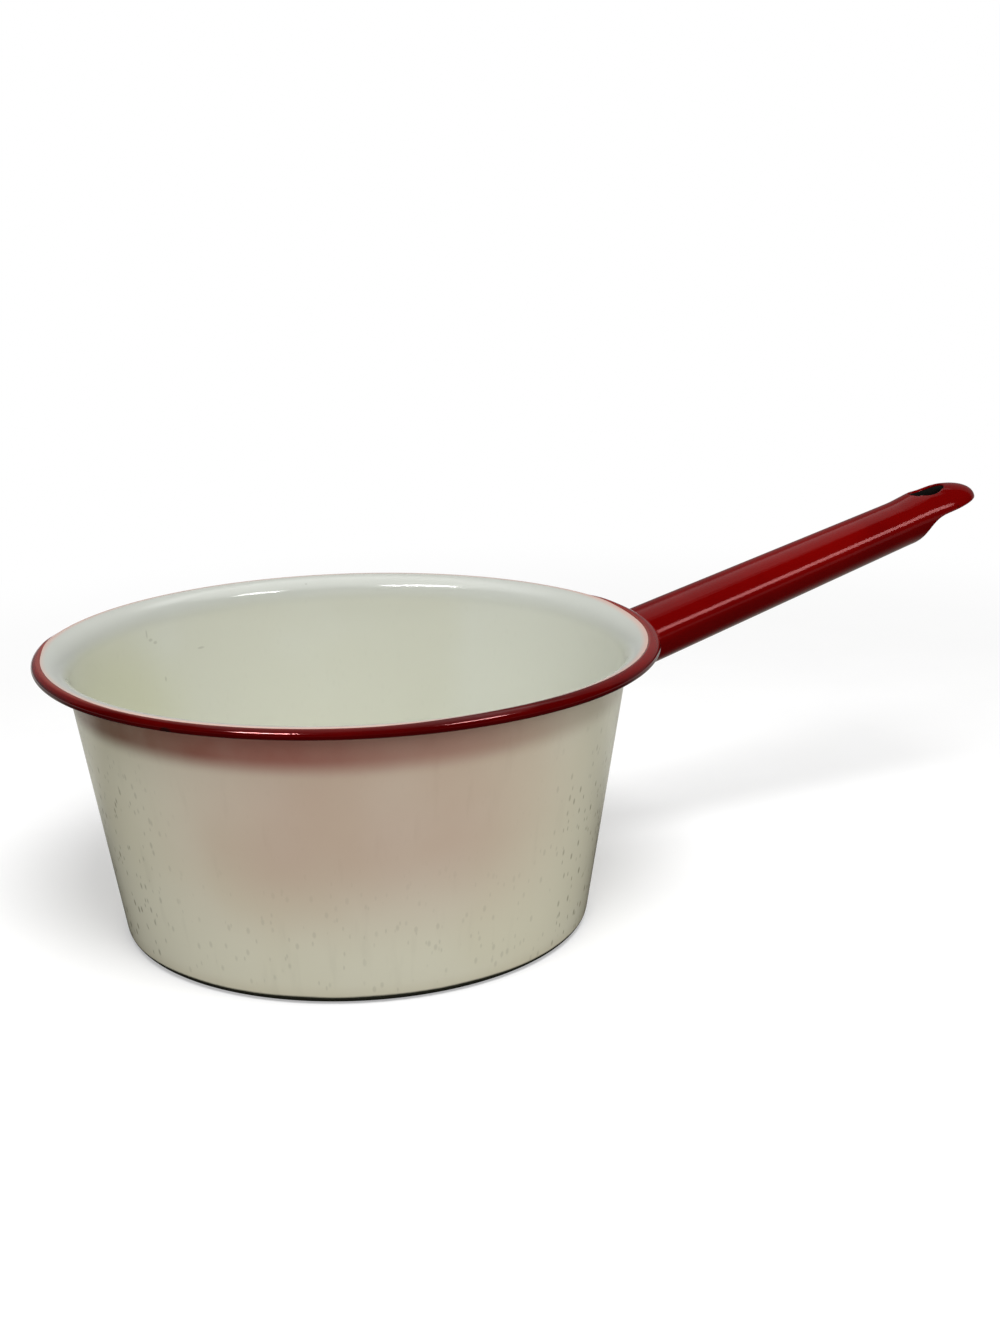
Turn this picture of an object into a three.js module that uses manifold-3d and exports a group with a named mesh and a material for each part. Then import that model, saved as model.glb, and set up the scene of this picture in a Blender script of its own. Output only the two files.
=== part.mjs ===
// Enamel saucepan: a drawn steel body with a curled rim, the red enamel coat that bands the rim,
// a handle rolled from one sheet blank, and the weld bead that joins the handle to the wall.
// Millimetres, +Z up. The pan stands on z = 0 with its axis on Z, and the handle runs out along +X.
import * as THREE from "three";
import { mergeVertices } from "three/addons/utils/BufferGeometryUtils.js";
import Module from "manifold-3d";

const { degToRad, lerp, smoothstep, clamp } = THREE.MathUtils;
const wasm = await Module();
wasm.setup();

// Body
const baseDiameter = 164.0; // where the wall, run straight down, meets the base plane
const mouthDiameter = 197.0; // where the wall, run straight up, meets the plane of the rim
const panHeight = 100.8; // base plane to the top of the curled sheet
const bodySheet = 1.0; // steel with its enamel on both sides
const baseCornerRadius = 4.0; // outside radius between base and wall
const flareRadius = 8.8; // midline radius of the lip that turns outwards below the rim
const curlShoulderRadius = 3.1; // midline radius where the lip turns over
const curlShoulderTurn = degToRad(45);
const curlRadius = 0.75; // midline radius of the rolled edge
const curlTurn = degToRad(155);

// Red enamel coat on the rim
const bandThickness = 0.35;
const bandSeat = 0.05; // room between the coat and the curl under it

// Handle
const handleLength = 162.3; // from the rim's outer edge to the tip, along the handle
const handlePitch = degToRad(15.2); // rise above level
const handleSheet = 1.2;
const rootDiameter = 22.5; // across the tube at the rim's outer edge
const tailDiameter = 18.6; // across the tube where its underside starts to open
const seamGap = 1.6; // slit along the underside where the rolled edges face each other
const handleUnderRim = 0.3; // room between the tube's crest and the rolled edge that lies on it

// Tongue, the open end of the handle that hangs on a hook
const tongueLength = 36.3; // from the start of the underside cut to the tip
const tongueWidth = 19.5;
const tongueCrown = 10.1; // crest above the handle's axis
const tongueLip = 0.3; // the sheet's edge below the handle's axis
const cutLength = 17.6; // how far the underside takes to open
const cutBow = 0.42; // share of that length at which the cut's S is steepest
const swellLead = 1.8; // how far before the cut the tube starts to widen into the tongue
const swellLength = 15; // how far the widening takes
const noseLength = 15.6; // over which the tongue's sides close to the tip
const noseFall = 27; // over which the crest comes down to the tip
const hangHoleLength = 15.4;
const hangHoleWidth = 11.4;
const hangHoleFromTip = 20.6; // tip to the middle of the hole

// Weld bead round the handle's root
const weldLeg = 2.6;
const weldHollow = 0.35; // how far the face bulges from the corner towards the straight line between its toes
const jointGap = 0.3; // between solids that meet at the root

// Facets
const aroundSteps = 72;
const cornerSteps = 4;
const flareSteps = 6;
const shoulderSteps = 3;
const curlSteps = 6;
const tubeSteps = 28;
const cutSteps = 7;
const swellSteps = 7;
const noseSteps = 8;
const weldFaceSteps = 4;
const holeSteps = 28;
const mergeDistance = 1e-4;
const contactHalvings = 40;

// Sheet metal seen edge on: stations along its midline, each with the normal on its left side.
class SheetPath {
  constructor(r, z, heading) {
    this.end = new THREE.Vector2(r, z);
    this.heading = heading;
    this.stations = [];
    this.mark();
  }
  mark() {
    const normal = new THREE.Vector2(-Math.sin(this.heading), Math.cos(this.heading));
    this.stations.push({ point: this.end.clone(), normal });
  }
  forward(length) {
    this.end.x += length * Math.cos(this.heading);
    this.end.y += length * Math.sin(this.heading);
    this.mark();
    return this;
  }
  // A turn to the left is positive.
  bend(radius, turn, steps) {
    const chord = 2 * radius * Math.sin(Math.abs(turn) / (2 * steps));
    for (let i = 0; i < steps; i++) {
      this.heading += turn / (2 * steps);
      this.end.x += chord * Math.cos(this.heading);
      this.end.y += chord * Math.sin(this.heading);
      this.heading += turn / (2 * steps);
      this.mark();
    }
    return this;
  }
}

function offset(stations, distance) {
  return stations.map((s) => s.point.clone().addScaledVector(s.normal, distance));
}

function toSolid(geometry) {
  const bare = new THREE.BufferGeometry();
  bare.setAttribute("position", geometry.getAttribute("position").clone());
  bare.setIndex(geometry.index);
  const merged = mergeVertices(bare, mergeDistance);
  return new wasm.Manifold(
    new wasm.Mesh({
      numProp: 3,
      vertProperties: new Float32Array(merged.attributes.position.array),
      triVerts: new Uint32Array(merged.index.array),
    }),
  );
}

function toGeometry(solid) {
  const mesh = solid.getMesh();
  const geometry = new THREE.BufferGeometry();
  geometry.setAttribute("position", new THREE.BufferAttribute(mesh.vertProperties, 3));
  geometry.setIndex(new THREE.BufferAttribute(mesh.triVerts, 1));
  geometry.computeVertexNormals();
  return geometry;
}

function meshGeometry(points, triangles) {
  const geometry = new THREE.BufferGeometry().setFromPoints(points);
  geometry.setIndex(triangles);
  geometry.computeVertexNormals();
  return geometry;
}

function revolve(profile) {
  return new THREE.LatheGeometry(profile, aroundSteps).rotateX(Math.PI / 2);
}

function namedMesh(name, geometry, color, roughness) {
  const material = new THREE.MeshStandardMaterial({ color, roughness, metalness: 0 });
  const mesh = new THREE.Mesh(geometry, material);
  mesh.name = name;
  return mesh;
}

// The body's section, from the middle of the base to the end of the curl.
const wallLean = Math.atan2(mouthDiameter - baseDiameter, 2 * panHeight);
const wallHeading = Math.PI / 2 - wallLean;
const half = bodySheet / 2;
const cornerMidline = baseCornerRadius - half;
const baseFlat = baseDiameter / 2 - baseCornerRadius * Math.tan(wallHeading / 2);
const wallFoot = half + cornerMidline * (1 - Math.cos(wallHeading));
const wallTop = panHeight - half - flareRadius * (1 - Math.cos(wallHeading));
const bodyPath = new SheetPath(0, half, 0)
  .forward(baseFlat)
  .bend(cornerMidline, wallHeading, cornerSteps)
  .forward((wallTop - wallFoot) / Math.sin(wallHeading))
  .bend(flareRadius, -wallHeading, flareSteps);
const lipStation = bodyPath.stations.length - 1;
bodyPath.bend(curlShoulderRadius, -curlShoulderTurn, shoulderSteps).bend(curlRadius, -curlTurn, curlSteps);
const bodyStations = bodyPath.stations;
const curlStations = bodyStations.slice(lipStation);

const bandLift = half + bandSeat + bandThickness; // from the curl's midline to the face of its coat
const bandOutside = offset(curlStations, bandLift);
const rimRadius = Math.max(...bandOutside.map((p) => p.x));
const shoulderCentre = bodyStations[lipStation].point.clone().sub(new THREE.Vector2(0, curlShoulderRadius));
const towardsCurl = new THREE.Vector2(Math.sin(curlShoulderTurn), Math.cos(curlShoulderTurn));
const curlCentre = shoulderCentre.addScaledVector(towardsCurl, curlShoulderRadius - curlRadius);

function makePanBody() {
  const inside = offset(bodyStations, half);
  const outside = offset(bodyStations, -half);
  return revolve([...outside, ...inside.reverse()]);
}

function makeRimBand() {
  const seat = offset(curlStations, half + bandSeat);
  const closed = [...seat, ...bandOutside.slice().reverse(), seat[0]];
  return revolve(closed);
}

// The outer face of base, wall and lip, lifted by the joint gap: what the handle and its weld stand on.
const standOff = offset(bodyStations.slice(0, lipStation + 1), -(half + jointGap));

function standOffAt(z) {
  let i = 1;
  while (i < standOff.length - 1 && standOff[i].y < z) i++;
  const [low, high] = [standOff[i - 1], standOff[i]];
  const share = clamp((z - low.y) / (high.y - low.y), 0, 1);
  const slope = new THREE.Vector2().subVectors(high, low).normalize();
  return { radius: lerp(low.x, high.x, share), slope };
}

// The handle's frame: local X runs along the handle, local Z is its crest side.
const handleGroup = new THREE.Group();
const axisUnderCurl = curlRadius + bandLift + handleUnderRim + rootDiameter / 2;
const handleAxisHeight =
  curlCentre.y + (rimRadius - curlCentre.x) * Math.tan(handlePitch) - axisUnderCurl / Math.cos(handlePitch);
handleGroup.position.set(rimRadius, 0, handleAxisHeight);
handleGroup.rotation.y = -handlePitch;
handleGroup.updateMatrix();

const rootReach = rimRadius - baseDiameter / 2; // the blank starts inside the wall and is coped back to it
const cutStart = handleLength - tongueLength;
const swellStart = cutStart - swellLead;
const swellEnd = swellStart + swellLength;

function tubeRadius(s) {
  return lerp(rootDiameter, tailDiameter, s / cutStart) / 2;
}

// How far a nose of the given length has opened at a distance from its tip: a quarter ellipse.
function noseShare(distance, length) {
  const left = 1 - clamp(distance / length, 0, 1);
  return Math.sqrt(1 - left * left);
}

// A point of the handle's face at s along the axis and an angle round from the crest.
// The inset is 0 on the outer face and the sheet's thickness on the inner face.
function handlePoint(s, angle, inset) {
  const opening = smoothstep(s, swellStart, swellEnd);
  const tube = tubeRadius(Math.min(s, cutStart)) - inset;
  const fromTip = handleLength - inset - s;
  const width = lerp(tube, tongueWidth / 2 - inset, opening) * noseShare(fromTip, noseLength - inset);
  const crown = lerp(tube, tongueCrown - inset, opening) * noseShare(fromTip, noseFall - inset);
  const height = Math.cos(angle) > 0 ? crown : Math.min(tube, crown);
  return new THREE.Vector3(s, width * Math.sin(angle), height * Math.cos(angle));
}

// Straight tube at first, then rows that follow the widening tongue and close in on the nose.
function handleStations(root, tip) {
  const stations = [root, swellStart];
  for (let i = 1; i <= swellSteps; i++) stations.push(lerp(swellStart, swellEnd, i / swellSteps));
  for (let i = 1; i < noseSteps; i++) {
    const share = Math.sin((Math.PI / 2) * (i / noseSteps));
    stations.push(lerp(swellEnd, tip, share));
  }
  return stations;
}

// A closed solid through rings of points, with a flat cap at the first ring and a tip past the last.
function loft(rings, cap, tip) {
  const count = rings[0].length;
  const points = [...rings.flat(), cap, tip];
  const triangles = [];
  const at = (i, j) => i * count + (j % count);
  const capIndex = points.length - 2;
  const tipIndex = points.length - 1;
  const last = rings.length - 1;
  for (let j = 0; j < count; j++) {
    triangles.push(at(0, j), at(0, j + 1), capIndex);
    triangles.push(at(last, j), tipIndex, at(last, j + 1));
    for (let i = 0; i < last; i++) {
      triangles.push(at(i, j), at(i + 1, j), at(i + 1, j + 1));
      triangles.push(at(i, j), at(i + 1, j + 1), at(i, j + 1));
    }
  }
  return meshGeometry(points, triangles);
}

function makeHandleForm(root, inset) {
  const tip = handleLength - inset;
  const rings = handleStations(root, tip).map((s) => {
    const angles = Array.from({ length: tubeSteps }, (_, j) => (2 * Math.PI * j) / tubeSteps);
    return angles.map((angle) => handlePoint(s, angle, inset));
  });
  return loft(rings, new THREE.Vector3(root, 0, 0), new THREE.Vector3(tip, 0, 0));
}

// The slit that the rolled edges leave, and the underside that is cut away below the tongue.
function makeSeamSlit() {
  const from = -rootReach;
  const to = cutStart + cutLength;
  const top = -tailDiameter / 4;
  const bottom = -rootDiameter;
  const slit = new THREE.BoxGeometry(to - from, seamGap, top - bottom);
  return slit.translate((from + to) / 2, 0, (top + bottom) / 2);
}

function makeUndersideCut() {
  const steepest = cutStart + cutLength * cutBow;
  const end = cutStart + cutLength;
  const past = handleLength + tongueWidth;
  const side = new THREE.Shape();
  side.moveTo(cutStart, -rootDiameter);
  side.lineTo(cutStart, -tailDiameter / 2);
  side.bezierCurveTo(steepest, -tailDiameter / 2, steepest, -tongueLip, end, -tongueLip);
  side.lineTo(past, -tongueLip);
  side.lineTo(past, -rootDiameter);
  const depth = 2 * tongueWidth;
  const options = { depth, bevelEnabled: false, curveSegments: cutSteps };
  return new THREE.ExtrudeGeometry(side, options).rotateX(Math.PI / 2).translate(0, depth / 2, 0);
}

function makeHangHole() {
  const depth = tailDiameter + tongueCrown;
  const outline = new THREE.Shape().absellipse(0, 0, hangHoleLength / 2, hangHoleWidth / 2, 0, 2 * Math.PI);
  const options = { depth, bevelEnabled: false, curveSegments: holeSteps };
  return new THREE.ExtrudeGeometry(outline, options).translate(handleLength - hangHoleFromTip, 0, 0);
}

// Everything on the pan's side of the wall, in the handle's frame.
function makeWallCutter() {
  const top = standOff[standOff.length - 1].clone();
  top.y = panHeight + rootDiameter;
  const cutter = revolve([...standOff, top, new THREE.Vector2(0, top.y)]);
  return cutter.applyMatrix4(handleGroup.matrix.clone().invert());
}

function makeHandle() {
  const tube = toSolid(makeHandleForm(-rootReach, 0));
  const bore = makeHandleForm(-rootReach - handleSheet, handleSheet);
  const cuts = [bore, makeSeamSlit(), makeUndersideCut(), makeHangHole(), makeWallCutter()];
  return toGeometry(cuts.reduce((solid, cut) => solid.subtract(toSolid(cut)), tube));
}

// Where the tube's line at this angle, lifted by the joint gap, reaches the wall's stand-off face.
function rootContact(angle) {
  const along = (s) => {
    const p = handlePoint(s, angle, -jointGap);
    return p.applyMatrix4(handleGroup.matrix);
  };
  let inside = -rootReach;
  let outside = cutStart / 2;
  for (let i = 0; i < contactHalvings; i++) {
    const middle = (inside + outside) / 2;
    const p = along(middle);
    if (Math.hypot(p.x, p.y) < standOffAt(p.z).radius) inside = middle;
    else outside = middle;
  }
  return { corner: along(outside), toe: along(outside + weldLeg) };
}

// The other toe of the weld: a leg's length from the corner over the wall, away from the tube.
function wallToe(corner, angle) {
  const away = new THREE.Vector3(0, Math.sin(angle), Math.cos(angle)).transformDirection(handleGroup.matrix);
  const { slope } = standOffAt(corner.z);
  const turn = Math.atan2(corner.y, corner.x);
  const uphill = new THREE.Vector3(slope.x * Math.cos(turn), slope.x * Math.sin(turn), slope.y);
  const sideways = new THREE.Vector3(-Math.sin(turn), Math.cos(turn), 0);
  const step = new THREE.Vector2(away.dot(uphill), away.dot(sideways)).setLength(weldLeg);
  const z = corner.z + step.x * slope.y;
  const { radius } = standOffAt(z);
  const toeTurn = turn + step.y / radius;
  return new THREE.Vector3(radius * Math.cos(toeTurn), radius * Math.sin(toeTurn), z);
}

// A hollow fillet swept once round the saddle where the tube meets the wall.
function makeHandleWeld() {
  const points = [];
  const triangles = [];
  const ring = weldFaceSteps + 2;
  for (let i = 0; i < tubeSteps; i++) {
    const angle = (2 * Math.PI * i) / tubeSteps;
    const { corner, toe } = rootContact(angle);
    const foot = wallToe(corner, angle);
    const hollow = corner.clone().lerp(toe.clone().lerp(foot, 0.5), weldHollow);
    const face = new THREE.QuadraticBezierCurve3(toe, hollow, foot);
    points.push(corner, ...face.getPoints(weldFaceSteps));
  }
  for (let i = 0; i < tubeSteps; i++) {
    const next = (i + 1) % tubeSteps;
    for (let j = 0; j < ring; j++) {
      const k = (j + 1) % ring;
      const [a, b, c, d] = [i * ring + j, i * ring + k, next * ring + k, next * ring + j];
      triangles.push(a, c, b, a, d, c);
    }
  }
  return meshGeometry(points, triangles);
}

const cream = 0xdcd9c8;
const red = 0x8c1410;
const saucepan = new THREE.Group();
saucepan.add(namedMesh("pan_body", makePanBody(), cream, 0.2));
saucepan.add(namedMesh("rim_band", makeRimBand(), red, 0.15));
saucepan.add(namedMesh("handle_weld", makeHandleWeld(), red, 0.2));
handleGroup.add(namedMesh("handle", makeHandle(), red, 0.2));
saucepan.add(handleGroup);

export default saucepan;
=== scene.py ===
# %% [markdown]
# # An enamelled saucepan
# The real pan is two pressings of steel sheet that were welded together and fired with glass enamel:
# a drawn body, cream inside and out, and a handle rolled into a tube, red. A second firing put a red
# coat on the rolled edge of the body.
# The measured solids come first, as a frame that is never moved. Each piece below is modelled afresh
# around that frame, takes the place of one solid and rides on the same body.

# %% Load the measured frame
import math

import bmesh
import bpy
from mathutils import Matrix, Vector


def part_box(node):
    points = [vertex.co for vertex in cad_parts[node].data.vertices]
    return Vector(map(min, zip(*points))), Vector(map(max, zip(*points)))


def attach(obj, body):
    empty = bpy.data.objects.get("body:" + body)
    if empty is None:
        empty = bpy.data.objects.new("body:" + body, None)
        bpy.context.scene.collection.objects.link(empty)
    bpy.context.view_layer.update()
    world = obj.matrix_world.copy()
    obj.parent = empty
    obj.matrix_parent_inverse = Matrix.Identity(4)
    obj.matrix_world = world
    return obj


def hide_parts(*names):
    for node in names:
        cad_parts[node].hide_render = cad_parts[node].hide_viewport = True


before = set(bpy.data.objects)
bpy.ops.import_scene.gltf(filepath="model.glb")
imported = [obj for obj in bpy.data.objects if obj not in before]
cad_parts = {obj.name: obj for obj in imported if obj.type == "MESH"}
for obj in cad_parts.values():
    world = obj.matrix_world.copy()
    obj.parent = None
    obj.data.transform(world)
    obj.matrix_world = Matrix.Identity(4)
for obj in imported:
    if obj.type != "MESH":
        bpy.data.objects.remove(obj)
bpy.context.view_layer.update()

MM = 0.001
print("solids in the frame:", sorted(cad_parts))

# %% [markdown]
# ## The camera
# The camera stands a little above the rim, in front of the pan and to the left of the handle.
# A camera can be placed by eye, but here its distance, height and turn were solved from the outlines of
# rim, wall, base and handle, so the lengths in the picture agree with the lengths of the model.
# The lens follows from the focal length in pixels, because Blender measures the long side of the
# picture against the sensor.

# %% Place the camera
picture_height = 1329
focal_length_in_pixels = 2000
sensor_size = 36.0
camera_distance = 715.1 * MM
camera_rise = math.radians(18.386)
camera_azimuth = math.radians(-110)
camera_aim = Vector((0, 0, 49.05 * MM))
camera_yaw = math.radians(-4.297)
camera_pitch = math.radians(3.117)
camera_roll = math.radians(2.452)


def place_camera():
    camera = bpy.data.objects.new("photo_camera", bpy.data.cameras.new("photo_camera"))
    camera.data.sensor_width = sensor_size
    camera.data.lens = sensor_size * focal_length_in_pixels / picture_height
    level = math.cos(camera_rise)
    back = Vector((
        level * math.cos(camera_azimuth),
        level * math.sin(camera_azimuth),
        math.sin(camera_rise),
    ))
    facing = (-back).to_track_quat("-Z", "Y").to_matrix()
    facing @= Matrix.Rotation(camera_yaw, 3, "Y")
    facing @= Matrix.Rotation(camera_pitch, 3, "X")
    facing @= Matrix.Rotation(-camera_roll, 3, "Z")
    camera.matrix_world = Matrix.Translation(camera_aim + back * camera_distance) @ facing.to_4x4()
    bpy.context.scene.collection.objects.link(camera)
    bpy.context.scene.camera = camera
    return camera


photo_camera = place_camera()
print("camera at", [round(c / MM, 1) for c in photo_camera.location], "mm, lens",
      round(photo_camera.data.lens, 2))

# %% [markdown]
# ## Drawing a sheet edge on
# A pressed pan is the same thickness everywhere, so its shape is fully told by one line: the middle of
# the sheet, seen edge on, from the centre of the base to the end of the rolled edge. That line is only
# straights and arcs. One could type in its points, but a small pen is clearer: it extrudes its last
# vertex to go straight on, and spins it about a centre to bend.

# %% A pen for sheet sections
merge_distance = 0.001 * MM


class SectionPen:
    """Draws in the XZ plane. A heading is measured from +X towards +Z, and left turns are positive."""

    def __init__(self, radius, height, heading):
        self.shape = bmesh.new()
        self.tip = self.shape.verts.new((radius, 0, height))
        self.heading = heading

    def left(self):
        return Vector((-math.sin(self.heading), 0, math.cos(self.heading)))

    def forward(self, length, steps=1):
        ahead = Vector((math.cos(self.heading), 0, math.sin(self.heading)))
        for _ in range(steps):
            made = bmesh.ops.extrude_vert_indiv(self.shape, verts=[self.tip])
            self.tip = made["verts"][0]
            bmesh.ops.translate(self.shape, verts=[self.tip], vec=ahead * length / steps)

    def bend(self, radius, turn, steps):
        centre = self.tip.co + self.left() * math.copysign(radius, turn)
        made = bmesh.ops.spin(
            self.shape, geom=[self.tip], cent=centre, axis=(0, -1, 0), angle=turn, steps=steps
        )
        self.tip = next(item for item in made["geom_last"] if isinstance(item, bmesh.types.BMVert))
        self.heading += turn

    def revolve(self, steps):
        whole = self.shape.verts[:] + self.shape.edges[:]
        bmesh.ops.spin(
            self.shape, geom=whole, cent=(0, 0, 0), axis=(0, 0, 1), angle=math.tau, steps=steps,
            use_merge=True,
        )
        bmesh.ops.remove_doubles(self.shape, verts=self.shape.verts, dist=merge_distance)
        bmesh.ops.recalc_face_normals(self.shape, faces=self.shape.faces)
        return self.shape


def make_piece(name, shape, node):
    mesh = bpy.data.meshes.new(name)
    shape.to_mesh(mesh)
    shape.free()
    mesh.shade_smooth()
    piece = bpy.data.objects.new(name, mesh)
    bpy.context.scene.collection.objects.link(piece)
    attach(piece, "root")
    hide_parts(node)
    print(name, "stands for", node, "with", len(mesh.polygons), "faces before its modifiers")
    return piece


# %% [markdown]
# ## The body
# The body is drawn from one disc of sheet. Its base turns up in a small corner, the wall leans out a
# few degrees, and near the mouth the wall flares until it is level. There the edge turns over, first in
# a wide shoulder and then in a tight roll that hides the raw edge.
# The section is revolved with a full spin. Solidify then gives the sheet its thickness on both sides
# of the middle line, so inside and outside stay parallel, as they do in sheet metal.

# %% Sizes of the body
base_diameter = 164.0 * MM
mouth_diameter = 197.0 * MM
pan_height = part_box("pan_body")[1].z
body_sheet = 1.0 * MM
base_corner_radius = 4.0 * MM
flare_radius = 8.8 * MM
shoulder_radius = 3.1 * MM
shoulder_turn = math.radians(45)
roll_radius = 0.75 * MM
roll_turn = math.radians(155)
around_steps = 192
base_steps = 10
corner_steps = 8
wall_steps = 20
flare_steps = 16
shoulder_steps = 6
roll_steps = 14

wall_lean = math.atan2(mouth_diameter - base_diameter, 2 * pan_height)
wall_heading = math.pi / 2 - wall_lean
half_sheet = body_sheet / 2
corner_middle = base_corner_radius - half_sheet
base_flat = base_diameter / 2 - base_corner_radius * math.tan(wall_heading / 2)
wall_foot = half_sheet + corner_middle * (1 - math.cos(wall_heading))
wall_top = pan_height - half_sheet - flare_radius * (1 - math.cos(wall_heading))
wall_length = (wall_top - wall_foot) / math.sin(wall_heading)
print("the wall leans", round(math.degrees(wall_lean), 2), "degrees and is",
      round(wall_length / MM, 1), "mm long")

# %% Draw and revolve the body
def make_body():
    pen = SectionPen(0, half_sheet, 0)
    pen.forward(base_flat, base_steps)
    pen.bend(corner_middle, wall_heading, corner_steps)
    pen.forward(wall_length, wall_steps)
    pen.bend(flare_radius, -wall_heading, flare_steps)
    lip = pen.tip.co.copy()
    pen.bend(shoulder_radius, -shoulder_turn, shoulder_steps)
    pen.bend(roll_radius, -roll_turn, roll_steps)
    body = make_piece("enamelled_pan", pen.revolve(around_steps), "pan_body")
    sheet = body.modifiers.new("sheet", "SOLIDIFY")
    sheet.thickness = body_sheet
    sheet.offset = 0
    sheet.use_even_offset = True
    return body, lip


enamelled_pan, lip_top = make_body()
lip_radius = lip_top.x
print("the lip is level at radius", round(lip_radius / MM, 2), "mm")

# %% [markdown]
# ## The red rim
# The rolled edge was dipped or brushed with red enamel after the cream was fired. The coat is thick
# enough to round the edge off, and it thins out to nothing on top of the lip. It was put on by hand, so
# the line where it ends wanders: it lies further in near the handle and on the far left, and at the back
# it lies so far out that the lip hides it.
# The coat is its own ring. Its outer face follows lip and roll, and its hidden face runs back inside the
# sheet, so the section is closed before it is revolved. Then the ring is melted down on the inner side:
# each vertex short of the coat's edge sinks just below the cream, which draws the wandering line.

# %% Where the red coat ends
coat = 0.4 * MM
coat_start_radius = 102.6 * MM
coat_edge_radius = 106.4 * MM
coat_blend = 1.0 * MM
coat_sink = 0.15 * MM
handle_dip = 2.2 * MM
handle_dip_azimuth = math.radians(-44)
handle_dip_full = math.radians(32)
handle_dip_end = math.radians(66)
left_dip = 0.9 * MM
left_dip_azimuth = math.radians(174)
left_dip_full = math.radians(12)
left_dip_end = math.radians(38)
back_rise = 1.8 * MM
back_azimuth = math.radians(81)
back_full = math.radians(64)
back_end = math.radians(84)


def lerp(a, b, share):
    return a + (b - a) * share


def clamp(value, low=0.0, high=1.0):
    return min(max(value, low), high)


def smooth(value, start, end):
    share = clamp((value - start) / (end - start))
    return share * share * (3 - 2 * share)


def coat_edge(azimuth):
    """Radius at which the red coat ends in this direction."""
    from_handle = abs(math.remainder(azimuth - handle_dip_azimuth, math.tau))
    from_left = abs(math.remainder(azimuth - left_dip_azimuth, math.tau))
    from_back = abs(math.remainder(azimuth - back_azimuth, math.tau))
    near_handle = handle_dip * smooth(from_handle, handle_dip_end, handle_dip_full)
    near_left = left_dip * smooth(from_left, left_dip_end, left_dip_full)
    at_back = back_rise * smooth(from_back, back_end, back_full)
    return coat_edge_radius - near_handle - near_left + at_back


def roll_centre():
    """The middle of the tight roll, in the section at +X."""
    shoulder_centre = Vector((lip_radius, 0, pan_height - half_sheet - shoulder_radius))
    outward = Vector((math.sin(shoulder_turn), 0, math.cos(shoulder_turn)))
    return shoulder_centre + outward * (shoulder_radius - roll_radius)


def bend_under(radius):
    """Centre and radius of the bend that the coat lies on: the flare, the shoulder or the roll."""
    shoulder_end = lip_radius + shoulder_radius * math.sin(shoulder_turn)
    if radius >= shoulder_end:
        return roll_centre(), roll_radius
    bend = flare_radius if radius < lip_radius else shoulder_radius
    return Vector((lip_radius, 0, pan_height - half_sheet - bend)), bend


print("the coat ends at radius", round(coat_edge(camera_azimuth) / MM, 1), "mm in front and",
      round(coat_edge(0.0) / MM, 1), "mm at the handle")

# %% Draw and revolve the red rim
rim_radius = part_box("rim_band")[1].x
coat_flare_steps = 16
coat_shoulder_steps = 20
coat_roll_steps = 18
hidden_roll_steps = 10
hidden_bend_steps = 4


def make_rim():
    lead = flare_radius + half_sheet + coat
    lead_turn = math.asin((lip_radius - coat_start_radius) / lead)
    start_height = pan_height - half_sheet - flare_radius + lead * math.cos(lead_turn)
    pen = SectionPen(coat_start_radius, start_height, lead_turn)
    first = pen.tip
    pen.bend(lead, -lead_turn, coat_flare_steps)
    pen.bend(shoulder_radius + half_sheet + coat, -shoulder_turn, coat_shoulder_steps)
    pen.bend(roll_radius + half_sheet + coat, -roll_turn, coat_roll_steps)
    pen.heading -= math.pi / 2
    pen.forward(half_sheet + coat)
    pen.heading -= math.pi / 2
    pen.bend(roll_radius, roll_turn, hidden_roll_steps)
    pen.bend(shoulder_radius, shoulder_turn, hidden_bend_steps)
    pen.bend(flare_radius, lead_turn, hidden_bend_steps)
    pen.shape.edges.new((pen.tip, first))
    ring = pen.revolve(around_steps)
    melt_inner_edge(ring)
    return make_piece("red_rim", ring, "rim_band")


def melt_inner_edge(ring):
    for vert in ring.verts:
        radius = vert.co.xy.length
        centre, bend = bend_under(radius)
        arm = Vector((radius, 0, vert.co.z)) - centre
        if arm.length < bend + half_sheet or arm.z < 0:
            continue
        edge = coat_edge(math.atan2(vert.co.y, vert.co.x))
        sink = (coat + coat_sink) * (1 - smooth(radius, edge - coat_blend / 2, edge + coat_blend))
        sunk = centre + arm * (1 - sink / arm.length)
        vert.co = (vert.co.x * sunk.x / radius, vert.co.y * sunk.x / radius, sunk.z)


red_rim = make_rim()

# %% [markdown]
# ## The handle's form
# The handle is one flat blank, rolled into a tube that gets slimmer outwards. Its edges face each other
# along the underside and leave a narrow slit. Near the end the underside is cut away in an S, and what is
# left is an arched tongue with a rounded nose.
# A single formula gives each point of its face, from the distance along the handle and the angle round
# from its crest. The same numbers drew the solid in the frame, so piece and solid agree.

# %% Sizes of the handle
handle_length = 162.3 * MM
handle_pitch = math.radians(15.2)
handle_sheet = 1.2 * MM
root_diameter = 22.5 * MM
tail_diameter = 18.6 * MM
seam_gap = 1.6 * MM
handle_under_rim = 0.3 * MM
tongue_length = 36.3 * MM
tongue_width = 19.5 * MM
tongue_crown = 10.1 * MM
tongue_lip = 0.3 * MM
cut_length = 17.6 * MM
cut_bow = 0.42
swell_lead = 1.8 * MM
swell_length = 15 * MM
nose_length = 15.6 * MM
nose_fall = 27 * MM
hole_length = 15.4 * MM
hole_width = 11.4 * MM
hole_from_tip = 20.6 * MM

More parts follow.
